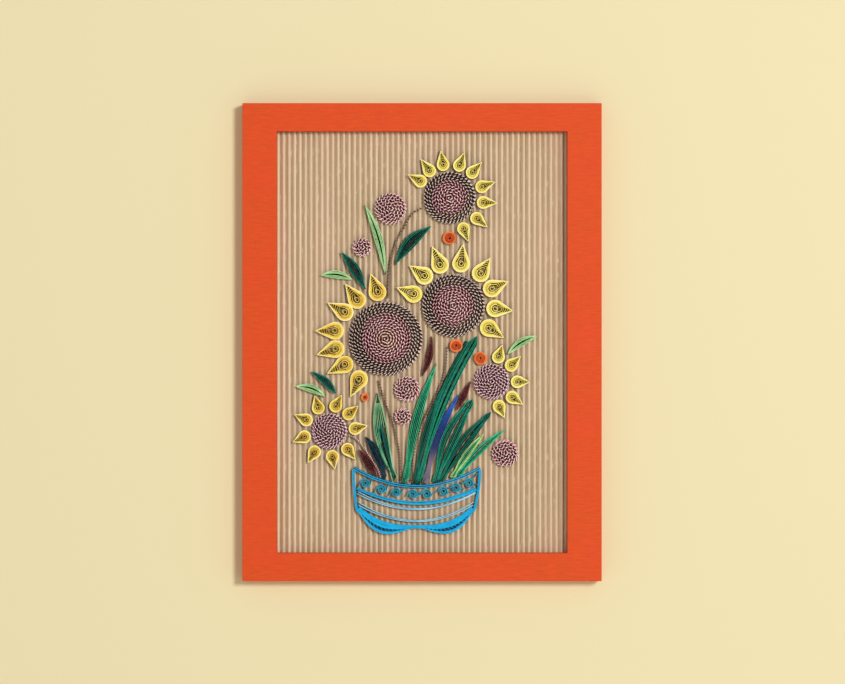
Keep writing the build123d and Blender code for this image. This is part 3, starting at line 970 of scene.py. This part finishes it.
def bowl_edges(papers):
    """The rim and the two sides of the bowl."""
    rim = sagging(0, rim_sag, rim_half_width, rim_half_width)
    strips("bowl_rim_strips", ["bowl_rim"], [beside(rim, 0.58 * MM), beside(rim, -0.58 * MM)],
           papers, edge_thickness, lean=0.25 * MM)
    for hand, word in hands:
        side = [bowl_point(hand * side_at(depth * MM, hand), depth * MM) for depth in (1.2, 7, 12, 18, 25.5)]
        side.append(bowl_point(hand * (side_at(bowl_height, hand) - 1.1 * MM), bowl_height + 2.6 * MM))
        side = smooth(side, 5)
        shifts = (side_strip_pitch, 0, -side_strip_pitch)
        strips(f"bowl_{word}_side_strips", [f"bowl_{word}_side"],
               [beside(side, shift * MM) for shift in shifts], papers, side_thickness)


def strand(line, left_shift, middle_shift, right_shift):
    """The line moved up, by a distance that changes along it."""
    moved = []
    for index, (point, low) in enumerate(zip(line, beside(line, -1 * MM))):
        share = index / (len(line) - 1)
        shift = left_shift * (1 - share) + right_shift * share + middle_shift * 4 * share * (1 - share)
        moved.append(point.lerp(low, -shift))
    return moved


def bowl_bands(papers, swag_papers):
    """The strips across the bowl, fuller in the curve at its base."""
    for name, (level, sag, wall, shifts) in band_table.items():
        depth = level * bowl_height
        gap = side_wall / 2 + end_gap + wall * MM / 2
        fullness = 2.8 if name == "base_strip" else 2
        line = sagging(depth, sag * MM, side_at(depth) - gap, side_at(depth, -1) - gap, fullness)
        kind = ("cyan", papers, edge_thickness)
        if "swag" in name:
            kind = ("light_blue", swag_papers, swag_thickness)
        colour, strand_papers, thickness = kind
        strips(f"bowl_{name}_lines", ["bowl_" + name], [strand(line, *shift) for shift in shifts],
               strand_papers, thickness)


def bowl_feet(papers, filling_papers):
    """Two looped feet with a crimped strip inside."""
    for hand, word in hands:
        outer_depth = bowl_height + foot_depth
        outer = bowl_point(hand * side_at(bowl_height, hand), outer_depth)
        inner = bowl_point(hand * foot_inner_share * side_at(bowl_height), outer_depth + foot_drop)
        foot = (inner, outer, foot_width - paper_thickness, hand * foot_bow, 1)
        strips(f"bowl_{word}_foot_loops", [f"bowl_{word}_foot"],
               leaf_loops(foot, (1.0, 0.84, 0.68, 0.52)), papers, foot_thickness, closed=True)
        middle_line = leaf_lines(foot, (0.0,))[0]
        strips(f"bowl_{word}_foot_filling", [],
               [crimp(middle_line[1:-1], 2.6 * MM, 1.9 * MM, True)], filling_papers, foot_thickness)


def tail(middle, points, hand=1):
    return smooth([middle + Vector((hand * reach * MM, 0, hand * rise * MM)) for reach, rise in points], 4)


def bowl_scrolls(papers):
    """Small coils between rim and band strip, with a curled tail on either side."""
    band_level, band_sag = band_table["band_strip"][:2]
    coils, tails = [], []
    for share in scroll_shares:
        rim_depth = rim_sag * (1 - share * share)
        band_depth = band_level * bowl_height + band_sag * MM * (1 - share * share)
        middle = bowl_point(share * rim_half_width, (rim_depth + band_depth) / 2)
        coils.append(plain_turns(middle, 0.6 * MM, 3.2 * MM, 1.25 * MM, 18, -0.4))
        lift = tail_lift * share
        points = ((2.6, -1.7), (3.4, -0.4), (4.2, 0.8 + lift / 2), (5.4, 1.5 + lift))
        tails += [tail(middle, points, hand) for hand in (-1, 1)]
    tails.append(tail(middle, last_tail))
    strips("bowl_scroll_coils", ["bowl_scrolls"], coils, papers, coil_thickness)
    strips("bowl_scroll_tails", [], tails, papers, thin_thickness)


# Floor, wall, light and camera

wall_half_size = 1.6
wall_gap = 0.1 * MM
floor_half_size = 3
floor_z = -0.6


def stage_square(name, half_size, material, place):
    """A plain square of the stage; place gives a corner its place from its two coordinates."""
    bm = bmesh.new()
    bmesh.ops.create_grid(bm, x_segments=1, y_segments=1, size=half_size)
    for vert in bm.verts:
        vert.co = place(vert.co.x, vert.co.y)
    square = new_object(name, bm, [material])
    return square


def plain_wall(material):
    """A wall that throws no shadow and no light back, so that the back of the picture can be looked at."""
    wall = stage_square("plain_wall", wall_half_size, material, lambda x, z: (x, rear_y + wall_gap, z))
    wall.visible_diffuse = False
    wall.visible_glossy = False
    wall.visible_shadow = False


def one_sided(name, colour):
    """Matt paint that is seen from its front and clear from behind."""
    material = bpy.data.materials.new(name)
    material.use_nodes = True
    tree = material.node_tree
    shader = tree.nodes["Principled BSDF"]
    shader.inputs["Base Color"].default_value = light(colour)
    shader.inputs["Roughness"].default_value = 0.9
    clear = tree.nodes.new("ShaderNodeBsdfTransparent")
    choose = tree.nodes.new("ShaderNodeMixShader")
    side = tree.nodes.new("ShaderNodeNewGeometry")
    tree.links.new(side.outputs["Backfacing"], choose.inputs[0])
    tree.links.new(shader.outputs[0], choose.inputs[1])
    tree.links.new(clear.outputs[0], choose.inputs[2])
    tree.links.new(choose.outputs[0], tree.nodes["Material Output"].inputs["Surface"])
    return material


def area_light(name, place, size, power):
    """A square lamp that points at the middle of the picture."""
    data = bpy.data.lights.new(name, "AREA")
    data.energy = power
    data.size = size
    lamp = linked(name, data)
    lamp.location = place
    lamp.rotation_euler = (-Vector(place)).to_track_quat("-Z", "Y").to_euler()


def studio():
    """Even light from all round, a lamp high on the right in front and another behind."""
    world = bpy.data.worlds.new("pale_room")
    scene.world = world
    world.use_nodes = True
    background = world.node_tree.nodes["Background"]
    background.inputs["Color"].default_value = (0.98, 0.99, 1.0, 1)
    background.inputs["Strength"].default_value = 0.44
    area_light("key_light", (1.32, -3.2, 0.68), 0.62, 76)
    area_light("back_light", (-1.2, 2.4, 1.0), 1.4, 40)
    scene.view_settings.view_transform = "Standard"


def square_camera():
    """A camera square to the picture, far enough for the scale of the photo."""
    photo_width = 845
    metres_per_pixel = 0.64 * MM
    data = bpy.data.cameras.new("camera")
    data.lens = 150
    distance = photo_width * metres_per_pixel * data.lens / data.sensor_width
    camera = linked("camera", data)
    camera.location = (0.3 * MM, front_y - distance, 0.1 * MM)
    camera.rotation_euler = (pi / 2, 0, 0)
    bpy.context.scene.camera = camera


# Papers: face, darkened as painted shade between strips, cut edge and mottle, share and scale of the mottle;
# a second row, darker as painted shade, for every other length
paper_table = {
    "yellow": [((112, 66, 8), (255, 230, 110), (255, 212, 80), 0.4)],
    "golden": [((74, 36, 2), (250, 212, 90), (228, 176, 58))],
    "cream_yellow": [((96, 56, 10), (255, 238, 164), (255, 222, 122), 0.4)],
    "pink": [
        ((44, 8, 14), (255, 220, 222), (255, 188, 194), 0.35, 900),
        ((32, 4, 10), (206, 108, 120), (140, 54, 66), 0.5, 900)],
    "rosette_pink": [
        ((44, 8, 14), (255, 226, 224), (255, 188, 190), 0.35, 900),
        ((34, 6, 12), (226, 140, 144), (166, 80, 86), 0.45, 900)],
    "brown_pink": [
        ((56, 16, 14), (255, 216, 204), (232, 172, 160), 0.5, 600),
        ((38, 10, 10), (214, 132, 122), (150, 78, 72), 0.5, 600)],
    "mauve": [
        ((36, 8, 16), (255, 226, 230), (236, 184, 192), 0.4, 900),
        ((28, 4, 12), (196, 118, 130), (130, 60, 74), 0.5, 900)],
    "dusky_pink": [
        ((32, 6, 12), (240, 196, 198), (206, 146, 154), 0.45, 900),
        ((22, 2, 8), (156, 78, 90), (96, 36, 48), 0.5, 900)],
    "dark": [
        ((20, 6, 6), (236, 212, 200), (180, 150, 138), 0.5, 900),
        ((14, 2, 2), (66, 30, 28), (34, 10, 10), 0.5, 900)],
    "stem_dark": [
        ((20, 8, 6), (176, 142, 126), (110, 80, 68), 0.5, 700),
        ((12, 4, 4), (52, 24, 20), (30, 10, 8), 0.5, 700)],
    "pale_green": [((40, 96, 44), (188, 226, 160), (124, 190, 116))],
    "deep_green": [((0, 26, 26), (10, 108, 88), (0, 64, 58), 0.45, 500)],
    "leaf_green": [((0, 60, 36), (84, 160, 92), (24, 104, 62))],
    "leaf_teal": [((0, 26, 30), (6, 124, 98), (0, 62, 64), 0.5, 400)],
    "leaf_navy": [((0, 20, 26), (4, 88, 80), (0, 48, 56), 0.55, 400)],
    "sage": [((30, 74, 46), (136, 186, 134), (70, 146, 100), 0.55, 120)],
    "navy": [((2, 16, 28), (10, 62, 76), (2, 26, 44), 0.7, 500)],
    "bright_green": [((0, 66, 48), (66, 186, 132), (8, 136, 98))],
    "blade_green": [((0, 40, 38), (20, 150, 116), (0, 92, 80), 0.45, 500)],
    "lime": [((50, 90, 36), (200, 214, 130), (110, 168, 84))],
    "brown": [((36, 8, 12), (116, 50, 50), (64, 22, 28), 0.7, 500)],
    "stem_brown": [
        ((50, 30, 24), (176, 142, 114), (128, 96, 72), 0.5, 700),
        ((36, 20, 16), (88, 60, 46), (60, 38, 28), 0.5, 700)],
    "cyan": [((0, 64, 116), (10, 170, 222), (0, 138, 192), 0.45)],
    "turquoise": [((0, 44, 64), (8, 168, 200), (0, 116, 150))],
    "foot_blue": [
        ((0, 30, 72), (30, 160, 212), (4, 110, 176)),
        ((0, 24, 60), (0, 76, 136), (0, 44, 100))],
    "pale_blue": [((0, 84, 130), (156, 212, 234), (60, 162, 206), 0.55, 90)],
    "orange_red": [((110, 14, 2), (232, 96, 40), (196, 54, 18))],
    "orange_bright": [((150, 36, 6), (240, 124, 58), (222, 92, 36), 0.45)],
}
looks = {"blue_mauve": blue_to_mauve()}
for name, rows in paper_table.items():
    pairs = [paper(name + part, *row) for row, part in zip(rows, ("", "_shaded"))]
    looks[name] = sum(pairs, ())

# Frame and back
folded_frame(laid_card())
board_paper = kraft()
fluted_sheet(board_paper)
liner(board_paper)
dress("back_panel", grey_board())
dress("sawtooth_hanger", brushed_steel())

# Flowers
for flower in petal_table:
    flower_petals(flower, "golden" if flower in ("left", "lower") else "yellow", "cream_yellow")
two_colour_centre("top", "pink", "dusky_pink", "dark")
two_colour_centre("middle", "pink", "dusky_pink", "dark")
two_colour_centre("left", "pink", "dusky_pink", "dark", 7.2 * MM, "brown_pink")
for flower in ("lower", "right"):
    small_centre(flower + "_mauve_coil", flower + "_flower_pink_coil", "mauve", "mauve")
for number in "12345":
    small_centre("pink_rosette_" + number, "crimped_rosette_" + number, "pink", "rosette_pink",
                 *rosette_crimp)
tight_coils("orange_red", "orange_bright")

# Leaves and buds
for leaf in ("tall_pale_leaf", "left_pale_leaf", "lower_pale_leaf", "right_pale_leaf"):
    looped_leaf(leaf, (1.0, 0.66, 0.34), "pale_green", (0.5, -0.5), "leaf_green", 0.12)
for leaf in ("upper_dark_leaf", "left_dark_leaf", "lower_dark_leaf"):
    looped_leaf(leaf, (1.0, 0.7), "leaf_teal", (-0.3, 0.3), "leaf_navy", 0.36)
for bud in ("middle_bud", "right_bud", "bowl_bud"):
    looped_leaf(bud, (1.0, 0.62), "brown", (0.0,), "brown", 0.4)
fringe("upper_dark_leaf", 1.1, "leaf_teal", 1.7, 1.5)
fringe("middle_bud", 1.0, "brown", 1.6, 1.2)

# Blades: loops, width of the base, strips inside, width of a blunt tip
looped_blade("sage_blade", (1.0, 0.86), "sage", 4.4)
sage_lines = leaf_lines(shape_of("sage_blade"), (0.64, 0.38, 0.08, -0.25, -0.55))
strips("sage_blade_inner_strips", [],
       [line[first:-2] for line, first in zip(sage_lines, (4, 8, 11, 11, 11))],
       "sage", thin_thickness, lean=leaf_lean)
looped_leaf("inner_dark_blade", (1.0, 0.66, 0.33), "deep_green", (0.5, -0.5), "leaf_navy", 0.2)
looped_blade("navy_blade", (1.0, 0.6), "navy", 3.4, (0.2, -0.2), "navy")
looped_blade("bright_blade", (1.0, 0.62), "bright_green", 5.0, (0.2, -0.2), "blade_green")
looped_blade("short_dark_blade", (1.0, 0.4), "deep_green", 2.6)
long_tip = 5.6
looped_blade("long_dark_blade", (1.0, 0.64, 0.32), "blade_green", 3.8, (0.48, -0.48),
             "deep_green", long_tip)
outer_lines = leaf_lines(shape_of("long_dark_blade"), (1.3, 1.62), 0.0, long_tip * MM)
strips("long_dark_blade_outer_strips", [], [line[7:-1] for line in outer_lines],
       "deep_green", thin_thickness, lean=leaf_lean)
fringe("long_dark_blade", -1.15, "deep_green", 3.4, 0.6)
looped_blade("blue_blade", (1.0, 0.6), "blue_mauve", 4.8, (0.2, -0.2), "blue_mauve", 1.2)
looped_blade("teal_blade", (1.0, 0.84, 0.4), "blade_green", 4.6, (0.62, 0.2, -0.2, -0.62),
             "deep_green", 5.0)
looped_blade("wide_dark_blade", (1.0, 0.76, 0.28), "deep_green", 4.2, (0.52, -0.52),
             "deep_green", 3.0)
looped_blade("lime_blade", (1.0, 0.7), "lime", 3.8, (0.3, -0.3), "bright_green")
looped_blade("right_green_blade", (1.0, 0.7), "bright_green", 4.2, (0.3, -0.3),
             "blade_green")

# Stems: places from the flower down, as shares of the window; wave, height and distance in mm
crimped_stem(
    "top", [(0.002, 0.32), (-0.034, 0.305), (-0.061, 0.273), (-0.089, 0.237), (-0.106, 0.195),
     (-0.114, 0.15), (-0.116, 0.104)], "stem_brown", 2.2, 0.36, twin=0.42)
crimped_stem(
    "middle", [(0.087, -0.009), (0.082, -0.056), (0.07, -0.092), (0.039, -0.139), (0.01, -0.179),
     (-0.01, -0.215), (-0.03, -0.272)], "stem_dark", 1.9, 1.1, -0.096)
crimped_stem(
    "left", [(-0.149, -0.09), (-0.128, -0.139), (-0.106, -0.179), (-0.087, -0.224),
     (-0.076, -0.272)], "stem_dark", 1.8, 0.7, -0.252)
crimped_stem(
    "lower", [(-0.25, -0.221), (-0.228, -0.229), (-0.202, -0.249), (-0.173, -0.279),
     (-0.152, -0.302)], "mauve", 1.4, 0.9, -0.568)

# Bowl
bowl_edges("cyan")
bowl_bands("cyan", "pale_blue")
bowl_feet("cyan", "foot_blue")
bowl_scrolls("turquoise")

# Stage
plain_wall(one_sided("pale_wall_paint", (228, 215, 172)))
stage_square("pale_floor", floor_half_size, one_sided("pale_floor_paint", (236, 230, 214)),
             lambda x, y: (x, y, floor_z))
studio()
square_camera()
